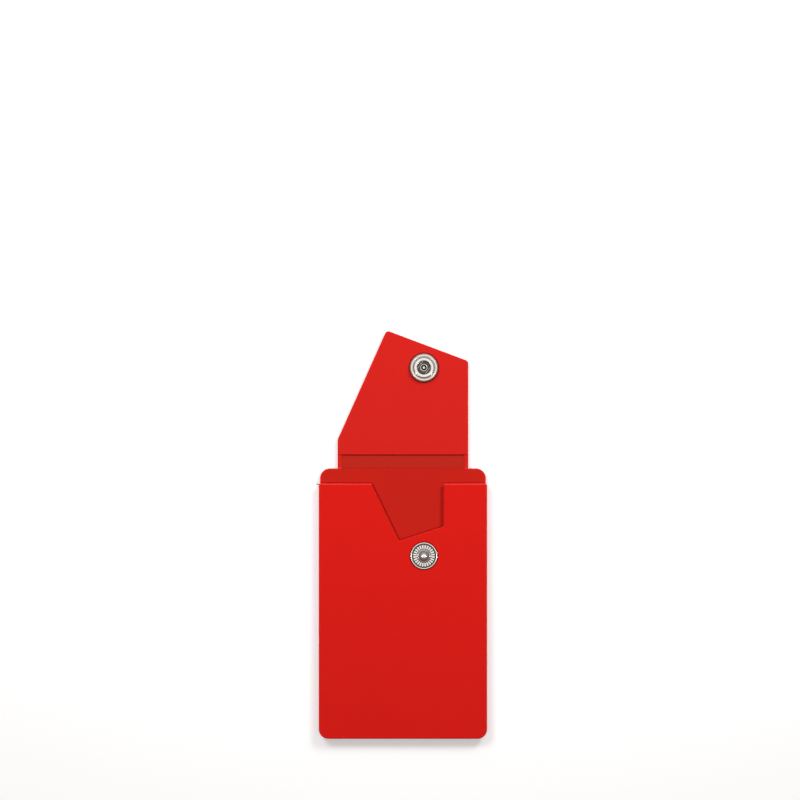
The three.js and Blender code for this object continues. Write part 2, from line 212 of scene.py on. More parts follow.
def cut_line(start, end, drop_left=False):
    """Cuts the flat outline along the line from start to end, and may drop what lies on its left."""
    left = Vector((start[1] - end[1], end[0] - start[0], 0)).normalized()
    bpy.ops.mesh.select_all(action="SELECT")
    bpy.ops.mesh.bisect(plane_co=(*start, 0), plane_no=left, clear_outer=drop_left)


def round_corner(piece, x, y, radius, segments=8):
    """Rounds one corner of a flat outline."""
    pick(piece, "VERT", lambda v: math.hypot(v.co.x - x, v.co.y - y) < TOUCH)
    corner = [v for v in bmesh.from_edit_mesh(piece.data).verts if v.select][0]
    sides = [edge.other_vert(corner).co - corner.co for edge in corner.link_edges]
    half = sides[0].angle(sides[1]) / 2
    bpy.ops.mesh.bevel(offset=radius / math.tan(half), segments=segments, affect="VERTICES")


def thicken(height):
    """Raises the flat outline to a plate."""
    bpy.ops.mesh.select_mode(type="FACE")
    bpy.ops.mesh.select_all(action="SELECT")
    bpy.ops.mesh.extrude_region_move(TRANSFORM_OT_translate={"value": (0, 0, height)})


def is_rim(edge, level):
    flat = [face for face in edge.link_faces if abs(face.normal.z) > 0.99]
    return len(flat) == 1 and all(abs(v.co.z - level) < 1e-3 for v in edge.verts)


def round_rim(piece, level, radius, segments=4, where=lambda middle: True):
    """Rounds the edges between a plate's flat face and its sides."""
    bpy.ops.mesh.select_all(action="SELECT")
    bpy.ops.mesh.normals_make_consistent(inside=False)
    pick(piece, "EDGE", lambda e: is_rim(e, level) and where((e.verts[0].co + e.verts[1].co) / 2))
    bpy.ops.mesh.bevel(offset=radius, segments=segments, affect="EDGES", clamp_overlap=False)


def combine(piece, tool, operation):
    """Joins the tool to the piece, or cuts it out of it, and removes the tool."""
    bpy.ops.object.select_all(action="DESELECT")
    piece.select_set(True)
    bpy.context.view_layer.objects.active = piece
    bpy.ops.object.modifier_add(type="BOOLEAN")
    modifier = piece.modifiers[-1]
    modifier.operation = operation
    modifier.solver = "EXACT"
    modifier.object = tool
    bpy.ops.object.modifier_apply(modifier=modifier.name)
    bpy.data.objects.remove(tool, do_unlink=True)


def keep_side(piece, y, above):
    """Cuts a solid piece at a line across the holder and closes it there."""
    begin_edit(piece)
    bpy.ops.mesh.bisect(
        plane_co=(0, y, 0), plane_no=(0, 1, 0), use_fill=True, clear_inner=above, clear_outer=not above
    )
    end_edit()


def cut_for_bend(piece, fold):
    """Lines across the piece, close together to each side of a fold line."""
    begin_edit(piece)
    for step in range(-BEND_LINES, BEND_LINES + 1):
        bpy.ops.mesh.select_all(action="SELECT")
        bpy.ops.mesh.bisect(plane_co=(0, fold + step * BEND / BEND_LINES, 0), plane_no=(0, 1, 0))
    end_edit()


def turned(name, x, y, profile, filled=False, steps=ROUND_STEPS):
    """A round piece: a circle that is extruded, sized and lifted from ring to ring of its profile."""
    bpy.ops.object.select_all(action="DESELECT")
    first_radius, first_level = profile[0]
    bpy.ops.mesh.primitive_circle_add(
        vertices=steps,
        radius=first_radius,
        fill_type="TRIFAN" if filled else "NOTHING",
        location=(x, y, first_level),
    )
    piece = bpy.context.object
    piece.name = name
    bpy.ops.object.transform_apply(location=True, rotation=True, scale=True)
    begin_edit(piece)

    def is_outer(edge):
        return all(math.hypot(v.co.x - x, v.co.y - y) > first_radius / 2 for v in edge.verts)

    pick(piece, "EDGE", is_outer)
    for (radius, level), (next_radius, next_level) in zip(profile, profile[1:]):
        share = next_radius / radius
        bpy.ops.mesh.extrude_edges_move(TRANSFORM_OT_translate={"value": (0, 0, next_level - level)})
        bpy.ops.transform.resize(value=(share, share, 1), center_override=(x, y, next_level))
    end_edit()
    return piece


def arc(radius, level, size, start, end, steps):
    """Rings [radius, level] on an arc of a profile; angles in degrees."""
    turns = [math.radians(start + (end - start) * i / steps) for i in range(steps + 1)]
    return [(radius + size * math.cos(t), level + size * math.sin(t)) for t in turns]


def finished(piece, material, body, angle=35):
    """Brings a piece to metres and gives it its shading, material and body."""
    bpy.ops.object.select_all(action="DESELECT")
    piece.select_set(True)
    bpy.context.view_layer.objects.active = piece
    piece.scale = (0.001, 0.001, 0.001)
    bpy.ops.object.transform_apply(location=True, rotation=True, scale=True)
    bpy.ops.object.shade_smooth_by_angle(angle=math.radians(angle))
    bpy.ops.object.modifier_add(type="WEIGHTED_NORMAL")
    piece.modifiers[-1].keep_sharp = True
    bpy.ops.object.modifier_apply(modifier=piece.modifiers[-1].name)
    piece.data.materials.append(material)
    if body:
        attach(piece, body)
    return piece


# Materials

def group_socket(group, name, direction, kind="NodeSocketFloat", value=None):
    socket = group.interface.new_socket(name, in_out=direction, socket_type=kind)
    if value is not None:
        socket.default_value = value


def surface_group(name):
    """Fine mottling of colour and roughness with a grain that feeds a bump."""
    group = bpy.data.node_groups.new(name, "ShaderNodeTree")
    group_socket(group, "Colour", "INPUT", "NodeSocketColor", (0.5, 0.5, 0.5, 1))
    group_socket(group, "Roughness", "INPUT", value=0.5)
    group_socket(group, "Mottling", "INPUT", value=0.05)
    group_socket(group, "Patch size", "INPUT", value=60)
    group_socket(group, "Grain size", "INPUT", value=2500)
    group_socket(group, "Dust", "INPUT", value=0.0)
    group_socket(group, "Colour", "OUTPUT", "NodeSocketColor")
    group_socket(group, "Roughness", "OUTPUT")
    group_socket(group, "Grain", "OUTPUT")
    nodes, links = group.nodes, group.links
    given = nodes.new("NodeGroupInput")
    result = nodes.new("NodeGroupOutput")
    place = nodes.new("ShaderNodeTexCoord")
    patches = nodes.new("ShaderNodeTexNoise")
    grain = nodes.new("ShaderNodeTexNoise")
    specks = nodes.new("ShaderNodeTexVoronoi")
    patches.inputs["Detail"].default_value = 4
    grain.inputs["Detail"].default_value = 2
    for texture in (patches, grain, specks):
        links.new(place.outputs["Object"], texture.inputs["Vector"])
    links.new(given.outputs["Patch size"], patches.inputs["Scale"])
    links.new(given.outputs["Grain size"], grain.inputs["Scale"])
    specks.inputs["Scale"].default_value = 420
    shift = nodes.new("ShaderNodeMath")
    shift.operation = "MULTIPLY_ADD"
    links.new(patches.outputs["Fac"], shift.inputs[0])
    links.new(given.outputs["Mottling"], shift.inputs[1])
    shift.inputs[2].default_value = 1.0
    centred = nodes.new("ShaderNodeMath")
    centred.operation = "MULTIPLY_ADD"
    links.new(given.outputs["Mottling"], centred.inputs[0])
    centred.inputs[1].default_value = -0.5
    links.new(shift.outputs[0], centred.inputs[2])
    toned = nodes.new("ShaderNodeVectorMath")
    toned.operation = "SCALE"
    links.new(given.outputs["Colour"], toned.inputs[0])
    links.new(centred.outputs[0], toned.inputs["Scale"])
    near = nodes.new("ShaderNodeMapRange")
    links.new(specks.outputs["Distance"], near.inputs["Value"])
    near.inputs["From Min"].default_value = 0.05
    near.inputs["From Max"].default_value = 0.16
    near.inputs["To Min"].default_value = 1.0
    near.inputs["To Max"].default_value = 0.0
    dust = nodes.new("ShaderNodeMath")
    dust.operation = "MULTIPLY"
    links.new(near.outputs["Result"], dust.inputs[0])
    links.new(given.outputs["Dust"], dust.inputs[1])
    mixed = nodes.new("ShaderNodeMix")
    mixed.data_type = "RGBA"
    links.new(dust.outputs[0], mixed.inputs["Factor"])
    links.new(toned.outputs["Vector"], mixed.inputs[6])
    mixed.inputs[7].default_value = (0.75, 0.6, 0.55, 1)
    links.new(mixed.outputs[2], result.inputs["Colour"])
    rough = nodes.new("ShaderNodeMath")
    rough.operation = "MULTIPLY"
    links.new(given.outputs["Roughness"], rough.inputs[0])
    links.new(centred.outputs[0], rough.inputs[1])
    links.new(rough.outputs[0], result.inputs["Roughness"])
    links.new(grain.outputs["Fac"], result.inputs["Grain"])
    return group


SURFACE = surface_group("moulded_surface")


def surfaced(name, colour, roughness, bump, inputs, settings):
    """A material on the shared surface group, with its own values."""
    material = bpy.data.materials.new(name)
    material.use_nodes = True
    nodes, links = material.node_tree.nodes, material.node_tree.links
    shader = nodes["Principled BSDF"]
    surface = nodes.new("ShaderNodeGroup")
    surface.node_tree = SURFACE
    surface.inputs["Colour"].default_value = (*colour, 1)
    surface.inputs["Roughness"].default_value = roughness
    for socket, value in inputs.items():
        surface.inputs[socket].default_value = value
    links.new(surface.outputs["Colour"], shader.inputs["Base Color"])
    links.new(surface.outputs["Roughness"], shader.inputs["Roughness"])
    relief = nodes.new("ShaderNodeBump")
    relief.inputs["Distance"].default_value = bump
    relief.inputs["Strength"].default_value = 0.6
    links.new(surface.outputs["Grain"], relief.inputs["Height"])
    links.new(relief.outputs["Normal"], shader.inputs["Normal"])
    for socket, value in settings.items():
        shader.inputs[socket].default_value = value
    return material


SOFT_TOUCH = {"Specular IOR Level": 0.07, "Sheen Weight": 0.12, "Sheen Roughness": 0.4}


def red_silicone(name, colour, roughness=0.5):
    return surfaced(name, colour, roughness, 0.00002, {"Mottling": 0.05, "Dust": 0.01}, SOFT_TOUCH)


silicone = red_silicone("red_silicone", (0.71, 0.0098, 0.006))
flap_silicone = red_silicone("red_silicone_flap", (0.65, 0.0152, 0.0106))
# darker red for the tab and the card slot's floor: partly the silicone's own tone, partly painted shade
# from the steps and walls around them
recess_tone_and_shade = red_silicone("red_silicone_recess_shaded", (0.55, 0.0145, 0.0077), 0.6)
groove_silicone = red_silicone("red_silicone_groove", (0.485, 0.0195, 0.0099), 0.6)
# paler red on the rounded upper edges: a painted highlight
edge_highlight = red_silicone("red_silicone_edge_highlight", (0.8, 0.034, 0.032), 0.4)
# dark red painted shade at the foot of steps and along the notch's edges
shaded_silicone = red_silicone("red_silicone_shaded", (0.42, 0.007, 0.004), 0.6)
# dark red on the snap seats' walls: a painted shadow ring round the metal
painted_seat_shadow = red_silicone("red_silicone_seat_shadow", (0.26, 0.003, 0.002), 0.6)
thin_silicone = red_silicone("red_silicone_thin", (0.85, 0.42, 0.4), 0.4)
foam = surfaced("foam_tape", (0.82, 0.81, 0.78), 0.8, 0.00005, {"Mottling": 0.08, "Grain size": 1400}, {})
film = surfaced("adhesive_film", (0.8, 0.79, 0.72), 0.25, 0.00001, {"Mottling": 0.05}, {})


def nickel_finish(name, colour, roughness, bump, mottling, patch_size):
    inputs = {"Mottling": mottling, "Patch size": patch_size}
    return surfaced(name, colour, roughness, bump, inputs, {"Metallic": 1.0})


nickel = nickel_finish("nickel_plate", (0.84, 0.82, 0.78), 0.14, 0.000004, 0.12, 900)
worn_nickel = nickel_finish("nickel_edge", (0.72, 0.7, 0.67), 0.32, 0.000008, 0.2, 1500)
# dark nickel in the socket's hole, the post's bore and the stud's hollows: painted shade
shaded_nickel = nickel_finish("nickel_painted_shade", (0.13, 0.115, 0.09), 0.35, 0.000008, 0.3, 1500)


# Silicone moulding

def front_wall():
    """The pocket's front with its thumb notch."""
    half = HALF_WIDTH
    front = blank("front_wall", -half, half, BOTTOM_EDGE, MOUTH, SLOT_TOP)
    begin_edit(front)
    for start, end in NOTCH_LINES:
        cut_line(start, end)
    pick(front, "FACE", lambda f: in_notch(f.calc_center_median()))
    bpy.ops.mesh.delete(type="FACE")
    bpy.ops.mesh.select_all(action="SELECT")
    bpy.ops.mesh.dissolve_limited(angle_limit=0.01)
    round_corner(front, -half, BOTTOM_EDGE, CORNER_RADIUS, 10)
    round_corner(front, half, BOTTOM_EDGE, CORNER_RADIUS, 10)
    round_corner(front, -half, MOUTH, MOUTH_CORNER, 6)
    round_corner(front, half, MOUTH, MOUTH_CORNER, 6)
    round_corner(front, NOTCH_POINT_X, NOTCH_POINT_Y, NOTCH_CORNER, 6)
    round_corner(front, NOTCH_RIGHT, NOTCH_RIGHT_Y, NOTCH_CORNER, 6)
    round_corner(front, NOTCH_LEFT, MOUTH, NOTCH_MOUTH_CORNER, 4)
    round_corner(front, NOTCH_RIGHT, MOUTH, NOTCH_MOUTH_CORNER, 4)
    thicken(FRONT_FACE - SLOT_TOP)
    round_rim(front, FRONT_FACE, POCKET_ROUNDING, 5)
    end_edit()
    return front


def in_notch(point):
    """Whether a point lies inside the thumb notch."""
    slant = (NOTCH_POINT_X - NOTCH_LEFT) / (MOUTH - NOTCH_POINT_Y)
    rise = (NOTCH_RIGHT_Y - NOTCH_POINT_Y) / (NOTCH_RIGHT - NOTCH_POINT_X)
    right_of_left = point.x > NOTCH_LEFT + slant * (MOUTH - point.y)
    above_low = point.y > NOTCH_POINT_Y + rise * (point.x - NOTCH_POINT_X)
    return right_of_left and above_low and point.x < NOTCH_RIGHT


def notch_depth(point, line):
    """How far a point lies inside the notch, from one of its edges."""
    start, end = line
    left = Vector((start[1] - end[1], end[0] - start[0])).normalized()
    return left.x * (point.x - start[0]) + left.y * (point.y - start[1])


def outline_notch_floor(pocket):
    """Cuts the card slot's floor along the notch's edges, for the painted shade line there."""
    begin_edit(pocket)
    for start, end in NOTCH_LINES:
        left = Vector((start[1] - end[1], end[0] - start[0])).normalized() * NOTCH_SHADE
        cut_line(start, end)
        cut_line((start[0] + left.x, start[1] + left.y), (end[0] + left.x, end[1] + left.y))
    end_edit()


def card_tray():
    """Back wall, side walls and bottom wall, open at the mouth."""
    half = HALF_WIDTH
    tray = blank("card_tray", -half, half, BOTTOM_EDGE, MOUTH, BACK_FACE)
    begin_edit(tray)
    round_corner(tray, -half, BOTTOM_EDGE, CORNER_RADIUS, 10)
    round_corner(tray, half, BOTTOM_EDGE, CORNER_RADIUS, 10)
    round_corner(tray, -half, MOUTH, MOUTH_CORNER, 6)
    round_corner(tray, half, MOUTH, MOUTH_CORNER, 6)
    thicken(SLOT_TOP - BACK_FACE)
    round_rim(tray, BACK_FACE, BACK_ROUNDING, 3, lambda middle: middle.y < MOUTH - 1)
    end_edit()
    inner = half - SIDE_WALL
    slot = blank("slot", -inner, inner, BOTTOM_EDGE + BOTTOM_WALL, MOUTH + 2, SHEET_TOP)
    begin_edit(slot)
    round_corner(slot, -inner, BOTTOM_EDGE + BOTTOM_WALL, SLOT_CORNER, 8)
    round_corner(slot, inner, BOTTOM_EDGE + BOTTOM_WALL, SLOT_CORNER, 8)
    thicken(SLOT_TOP - SHEET_TOP + 1)
    end_edit()
    combine(tray, slot, "DIFFERENCE")
    return tray


def back_tab():
    """The back wall's tab above the mouth."""
    half = HALF_WIDTH - TAB_INSET
    tab = blank("back_tab", -half, half, MOUTH - TAB_OVERLAP, FOLD_LOW, BACK_FACE)
    begin_edit(tab)
    round_corner(tab, -half, FOLD_LOW, CORNER_RADIUS, 10)
    round_corner(tab, half, FOLD_LOW, CORNER_RADIUS, 10)
    cut_line((-half, MOUTH + MOUTH_SHADE), (half, MOUTH + MOUTH_SHADE))
    cut_line((NOTCH_LEFT, MOUTH), (NOTCH_LEFT, FOLD_LOW))
    cut_line((NOTCH_RIGHT, MOUTH), (NOTCH_RIGHT, FOLD_LOW))
    thicken(SHEET_TOP - BACK_FACE)

    def is_free(middle):
        return middle.y > MOUTH - TAB_OVERLAP + TOUCH

    round_rim(tab, SHEET_TOP, SHEET_ROUNDING, 3, is_free)
    round_rim(tab, BACK_FACE, SHEET_ROUNDING / 2, 2, is_free)
    end_edit()
    return tab


def upper_sheet():
    """Fold strip and flap, with the groove that thins the strip."""
    half = FLAP_HALF
    sheet = blank("upper_sheet", -half, half, FOLD_LOW - SHEET_OVERLAP, TIP_Y, BACK_FACE)
    begin_edit(sheet)
    cut_line((-half, SHOULDER_Y), (TIP_X, TIP_Y), drop_left=True)
    cut_line((TIP_X, TIP_Y), (half, RIGHT_Y), drop_left=True)
    round_corner(sheet, -half, SHOULDER_Y, FLAP_CORNER * 2, 6)
    round_corner(sheet, TIP_X, TIP_Y, FLAP_CORNER, 8)
    round_corner(sheet, half, RIGHT_Y, FLAP_CORNER, 8)
    thicken(SHEET_TOP - BACK_FACE)

    def is_free(middle):
        return middle.y > FOLD_LOW - SHEET_OVERLAP + TOUCH

    round_rim(sheet, SHEET_TOP, SHEET_ROUNDING, 4, is_free)
    round_rim(sheet, BACK_FACE, SHEET_ROUNDING / 2, 2, is_free)
    end_edit()
    combine(sheet, groove_cutter(half + 1, RIM_TOP, RIM_FOOT), "DIFFERENCE")
    combine(sheet, groove_cutter(GROOVE_HALF, GROOVE_FLOOR, GROOVE_FOOT), "DIFFERENCE")
    return sheet


def groove_cutter(half, floor, softness):
    """A block that thins the fold strip down to the given floor."""
    groove = blank("groove", -half, half, FOLD_LOW, FOLD_HIGH, floor)
    begin_edit(groove)
    thicken(2)
    round_rim(groove, floor, softness, 3)
    end_edit()
    return groove


def seat_cutter(name, x, y, profile):
    """A stepped round cutter for a post and its two flanges, from [radius, level] pairs."""
    cutter = turned(name, x, y, profile, filled=True)
    begin_edit(cutter)
    pick(cutter, "EDGE", lambda e: len(e.link_faces) == 1)
    bpy.ops.mesh.edge_face_add()
    end_edit()
    return cutter


def mouth_flash():
    """The sliver that the mould left at the left end of the mouth."""
    bpy.ops.object.select_all(action="DESELECT")
    bpy.ops.mesh.primitive_cube_add(size=1, location=(-HALF_WIDTH, MOUTH - 0.3, FLASH_LEVEL))
    flash = bpy.context.object
    flash.name = "flash"
    flash.scale = (2 * FLASH_LENGTH, FLASH_WIDTH, FLASH_THICKNESS)
    bpy.ops.object.transform_apply(location=True, rotation=True, scale=True)
    begin_edit(flash)
    tip = (-HALF_WIDTH - FLASH_LENGTH, MOUTH - 0.2, FLASH_LEVEL + 0.05)
    pick(flash, "FACE", lambda f: f.normal.x < -0.9)
    bpy.ops.transform.resize(value=(1, 0.5, 0.5), center_override=tip)
    end_edit()
    return flash


def silicone_pocket(sheet):
    pocket = card_tray()
    combine(pocket, front_wall(), "UNION")
    combine(pocket, back_tab(), "UNION")
    keep_side(sheet, STRIP_MIDDLE, above=False)
    combine(pocket, sheet, "UNION")
    combine(pocket, mouth_flash(), "UNION")
    flange_seat = SLOT_TOP + 0.2
    seat = [(4.35, SLOT_TOP - 0.6), (4.35, flange_seat), (1.15, flange_seat), (1.15, STUD_BASE)]
    seat += [(4.75, STUD_BASE), (4.85, STUD_BASE + 0.05), (5.1, FRONT_FACE), (5.1, FRONT_FACE + 1)]
    combine(pocket, seat_cutter("stud_seat", SNAP_X, STUD_Y, seat), "DIFFERENCE")
    outline_notch_floor(pocket)
    cut_for_bend(pocket, FOLD_LOW)
    pocket.name = "silicone_pocket"
    return pocket


def silicone_flap(sheet):
    keep_side(sheet, STRIP_MIDDLE, above=True)
    seat = [(5.35, BACK_FACE - 1), (5.35, CAP_SEAT), (1.35, CAP_SEAT), (1.35, SOCKET_BASE)]
    seat += [(5.12, SOCKET_BASE), (5.2, SOCKET_BASE + 0.05), (5.4, SHEET_TOP), (5.4, SHEET_TOP + 1)]
    combine(sheet, seat_cutter("socket_seat", SNAP_X, SOCKET_Y, seat), "DIFFERENCE")
    cut_for_bend(sheet, FOLD_HIGH)
    sheet.name = "silicone_flap"
    return sheet


def copied(piece):
    twin = piece.copy()
    twin.data = piece.data.copy()
    bpy.context.collection.objects.link(twin)
    return twin


whole_sheet = upper_sheet()
pocket = silicone_pocket(copied(whole_sheet))
flap = silicone_flap(whole_sheet)


def tint(piece, material, test):
    """Gives the faces that pass the test another material."""
    piece.data.materials.append(material)
    index = len(piece.data.materials) - 1
    for face in piece.data.polygons:
        if test(face.center * 1000, face.normal):
            face.material_index = index


def in_groove(centre, normal):
    inside = FOLD_LOW - TOUCH < centre.y < FOLD_HIGH + TOUCH and abs(centre.x) < GROOVE_HALF + TOUCH
    return inside and centre.z < SHEET_TOP - 2 * TOUCH and normal.z > -0.5


def in_slot(centre, normal):
    """Whether a face is on the tab or inside the card slot, where the darker red with painted shade goes.
    """
    between_sides = abs(centre.x) < HALF_WIDTH - SIDE_WALL + 0.2
    under_front = centre.y < MOUTH and SHEET_TOP - 0.1 < centre.z < SLOT_TOP - 2 * TOUCH and between_sides
    on_tab = MOUTH - TOUCH < centre.y < FOLD_LOW and centre.z < SHEET_TOP + TOUCH
    return under_front or on_tab


def at_foot(centre, normal):
    """Whether a face is at the foot of the mouth's step or of a step at the end of the fold strip, where
    shade is painted.
    """
    beside_notch = centre.z < SHEET_TOP + TOUCH and not NOTCH_LEFT < centre.x < NOTCH_RIGHT
    at_mouth = MOUTH - TOUCH < centre.y < MOUTH + MOUTH_SHADE and beside_notch
    at_flap = FOLD_HIGH - GROOVE_FOOT < centre.y < FOLD_HIGH + TOUCH and centre.z < SHEET_TOP - TOUCH
    at_tab = FOLD_LOW - TOUCH < centre.y < FOLD_LOW + GROOVE_FOOT and centre.z < RIM_TOP - TOUCH
    return at_mouth or (normal.z < 0.97 and (at_flap or at_tab))


def along_notch(centre, normal):
    """Whether a face of the card slot's floor lies along the notch's left or lower edge, where shade is
    painted.
    """
    on_floor = abs(centre.z - SHEET_TOP) < TOUCH and normal.z > 0.9
    inside = in_notch(centre) and centre.y < MOUTH
    return on_floor and inside and min(notch_depth(centre, line) for line in NOTCH_LINES[:2]) < NOTCH_SHADE


def on_edge(centre, normal):
    """Whether a face is on a rounded upper edge, apart from the thumb notch's edges; these get a painted
    highlight.
    """
    high = centre.z > FRONT_FACE - POCKET_ROUNDING or SHEET_TOP - SHEET_ROUNDING < centre.z < SHEET_TOP
    by_notch = NOTCH_LEFT < centre.x < NOTCH_RIGHT + 1 and NOTCH_POINT_Y - 1 < centre.y < MOUTH - 1
    return high and 0.15 < normal.z < 0.97 and not by_notch


def round_about(centre, y):
    """How far a face lies from the axis of the snap half at this y."""
    return math.hypot(centre.x - SNAP_X, centre.y - y)


def by_snap(centre, normal, y, low, high):
    """Whether a face is on the wall of the seat that a snap half is pressed into, where a shadow ring is
    painted.
    """
    return round_about(centre, y) < SEAT_REACH and low < centre.z < high and abs(normal.z) < 0.97


def on_flash(centre, normal):
    return centre.x < -HALF_WIDTH - 0.1


finished(pocket, silicone, None)
tint(pocket, recess_tone_and_shade, in_slot)
tint(pocket, flap_silicone, lambda c, n: c.y > FOLD_LOW)
tint(pocket, groove_silicone, in_groove)
tint(pocket, edge_highlight, on_edge)
tint(pocket, shaded_silicone, lambda c, n: at_foot(c, n) or along_notch(c, n))
tint(pocket, thin_silicone, on_flash)
tint(pocket, painted_seat_shadow, lambda c, n: by_snap(c, n, STUD_Y, SLOT_TOP, FRONT_FACE))
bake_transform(pocket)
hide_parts("pocket_sleeve", "fold_strip")

finished(flap, flap_silicone, None)
tint(flap, groove_silicone, in_groove)
tint(flap, edge_highlight, on_edge)
tint(flap, shaded_silicone, at_foot)
tint(flap, painted_seat_shadow, lambda c, n: by_snap(c, n, SOCKET_Y, BACK_FACE, SHEET_TOP))
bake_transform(flap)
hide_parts("closing_flap")


# Adhesive pad

def adhesive_pad():
    half_width = HALF_WIDTH - PAD_MARGIN
    half_height = FOLD_LOW - PAD_MARGIN
    pad = blank("foam_pad", -half_width, half_width, -half_height, half_height, 0)
    begin_edit(pad)
    for x in (-half_width, half_width):
        for y in (-half_height, half_height):
            round_corner(pad, x, y, PAD_CORNER, 8)
    thicken(BACK_FACE)
    round_rim(pad, 0, PAD_ROUNDING, 2)
    end_edit()
    return pad


pad = finished(adhesive_pad(), foam, "holder")
tint(pad, film, lambda c, n: n.z < -0.5)
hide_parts("adhesive_pad")


# Press snap

def snap_stud():
    """A hollow ball on a neck, in a flange with radial ribs and a rolled rim."""
    base = STUD_BASE
    rings = [(0.9, base + 2.35), (1.15, base + 2.1), (1.15, base)]
    rings += [(4.35, base), (4.6, base + 0.12), (4.73, base + 0.35)]
    rings += arc(4.66, base + 0.69, 0.09, 0, 84, 4) + arc(4.42, base + 0.69, 0.09, 96, 180, 4)
    rings += [(4.31, base + 0.4), (4.26, base + 0.22), (3.98, base + 0.22), (3.92, base + 0.4)]
    rings += [(3.85, RIB_FLOOR), (2.5, RIB_FLOOR), (2.38, RIB_FLOOR), (2.3, base + 0.62)]
    rings += [(2.1, base + 0.66), (1.6, base + 0.75), (1.42, base + 0.95), (1.38, base + 1.3)]
    rings += [(BALL_RADIUS * r, BALL_LEVEL + BALL_BELOW * z) for r, z in arc(0, 0, 1, -40, -8, 4)]
    rings += [(BALL_RADIUS * r, BALL_LEVEL + BALL_ABOVE * z) for r, z in arc(0, 0, 1, 0, 86, 14)]
    rings += [(0, BALL_LEVEL + BALL_ABOVE)]
    stud = turned("stud", SNAP_X, STUD_Y, rings, filled=True, steps=RIB_COUNT * RIB_STEPS)
    begin_edit(stud)
    pick(stud, "VERT", lambda v: is_rib_top(v.co))
    bpy.ops.transform.translate(value=(0, 0, RIB_HEIGHT))
    end_edit()
    return stud


def is_rib_top(point):
    """Whether a vertex of the flange's floor belongs to the top of a rib; one step in each is the gap."""
    across, along = point.x - SNAP_X, point.y - STUD_Y
    distance = math.hypot(across, along)
    step = round(math.atan2(along, across) / (2 * math.pi) * RIB_COUNT * RIB_STEPS) % RIB_STEPS
    return abs(point.z - RIB_FLOOR) < 1e-3 and RIB_INNER < distance < RIB_OUTER and step > 0


def snap_socket():
    """A toothed base under a rolled rim, with a raised collar round the hole."""
    base = SOCKET_BASE
    rings = [(1.35, base + 0.3), (1.35, base), (TOOTH_ROOT, base)]
    rings += [(TOOTH_ROOT, base + 0.72), (4.6, base + 0.85)]
    rings += arc(4.6, base + 1.76, 0.22, -60, 84, 8) + arc(4.2, base + 1.83, 0.15, 96, 180, 4)
    rings += [(4.04, base + 1.72), (3.92, base + 1.8), (3.85, base + 2.25)]
    rings += [(3.7, base + 2.42), (3.45, base + 2.5), (2.6, base + 2.5), (2.45, base + 2.46)]
    rings += [(2.36, base + 2.35), (2.35, base + 2.25), (3.3, base + 2.25)]
    rings += [(3.3, base + 1.71), (2.6, base + 1.71), (2.6, base + 0.3), (1.35, base + 0.3)]
    socket = turned("socket", SNAP_X, SOCKET_Y, rings)
    begin_edit(socket)
    pick(socket, "VERT", lambda v: is_tooth(v.co, base))
    growth = (TOOTH_GROWTH, TOOTH_GROWTH, 1)
    bpy.ops.transform.resize(value=growth, center_override=(SNAP_X, SOCKET_Y, base))
    end_edit()
    return socket


def is_tooth(point, base):
    """Whether a vertex of the socket's base belongs to a tooth; one step in each is the gap."""
    across, along = point.x - SNAP_X, point.y - SOCKET_Y
    step = round(math.atan2(along, across) / (2 * math.pi) * ROUND_STEPS) % TOOTH_STEPS
    return abs(math.hypot(across, along) - TOOTH_ROOT) < TOUCH and point.z < base + 0.8 and step > 0


def snap_cap():
    """A low dome with a hollow post that is curled over in the socket."""
    face = BACK_FACE
    rings = [(5.3 * r, CAP_SEAT + 0.95 * z) for r, z in arc(0, 0, 1, -86, -6, 14)]
    rings += [(5.2, CAP_SEAT), (1.1, CAP_SEAT), (1.1, face + 1.12)]
    rings += [(1.32, face + 1.14), (1.4, face + 1.22), (1.4, face + 1.42), (1.36, face + 1.49)]
    rings += [(1.28, face + 1.52), (1.02, face + 1.52), (0.92, face + 1.42)]
    rings += [(0.8, face + 1.2), (0.75, face + 0.8), (0.62, face + 0.72)]
    rings += [(0.52, face + 0.85), (0.42, face + 1.0), (0, face + 1.02)]
    return turned("cap", SNAP_X, SOCKET_Y, rings, filled=True)


def socket_spring():
    """A hairpin of wire: a round section pulled along one leg, round the bend and back."""
    leg = WIRE_BEND - WIRE_START
    bpy.ops.object.select_all(action="DESELECT")
    bpy.ops.mesh.primitive_circle_add(
        vertices=16,
        radius=WIRE_RADIUS,
        fill_type="NGON",
        location=(WIRE_START, -WIRE_OFFSET, WIRE_LEVEL),
        rotation=(0, math.pi / 2, 0),
    )
    wire = bpy.context.object
    wire.name = "spring"
    bpy.ops.object.transform_apply(location=True, rotation=True, scale=True)
    begin_edit(wire)
    bpy.ops.mesh.extrude_region_move(TRANSFORM_OT_translate={"value": (leg, 0, 0)})
    bpy.ops.mesh.spin(steps=24, angle=-math.pi, center=(WIRE_BEND, 0, WIRE_LEVEL), axis=(0, 0, 1))
    bpy.ops.mesh.extrude_region_move(TRANSFORM_OT_translate={"value": (-leg, 0, 0)})
    end_edit()
    wire.rotation_euler = (0, 0, math.radians(SPRING_TURN))
    wire.location = (SNAP_X, SOCKET_Y, 0)
    bpy.ops.object.transform_apply(location=True, rotation=True, scale=True)
    return wire


stud = finished(snap_stud(), nickel, "holder", 50)
socket = finished(snap_socket(), nickel, "flap", 50)
cap = finished(snap_cap(), nickel, "flap", 50)
spring = finished(socket_spring(), worn_nickel, "flap", 50)
for piece, node, slot in (
    (stud, "snap_stud", "snap_metal"),
    (socket, "snap_socket", "snap_metal"),
    (cap, "snap_cap", "snap_metal"),
    (spring, "socket_spring", "spring_wire"),
):
    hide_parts(node)


def inside_socket(centre, normal):
    return round_about(centre, SOCKET_Y) < 3.4 and centre.z < SOCKET_BASE + 2.3


def inside_post(centre, normal):
    return 0.55 < round_about(centre, SOCKET_Y) < 0.9 and centre.z > BACK_FACE + 0.6


